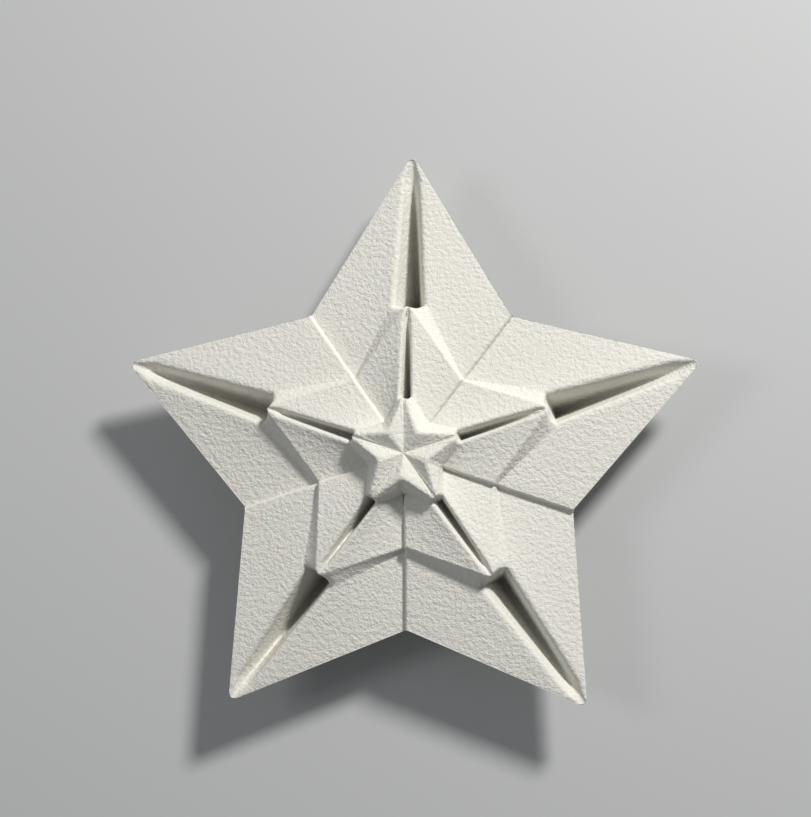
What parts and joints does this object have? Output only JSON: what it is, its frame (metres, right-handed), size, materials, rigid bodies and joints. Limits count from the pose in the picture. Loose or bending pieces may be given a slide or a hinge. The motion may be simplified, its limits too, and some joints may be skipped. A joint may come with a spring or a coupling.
{
  "type": "origami star",
  "caption": "Five-pointed star folded from one sheet of thick cream paper: nested stars with a slot down each arm and pinwheel pleats.",
  "frame": {"origin": "middle of the footprint's box, on the plane that the star rests on", "axes": "+Z out of the star's front, +Y along one arm, +X towards the right with that arm at the top"},
  "size_m": [0.1514, 0.1442, 0.0284],
  "materials": {
    "paper": "matte cream cold-press watercolour paper"
  },
  "bodies": {
    "root": {"folded_sheet": "paper"}
  },
  "joints": []
}
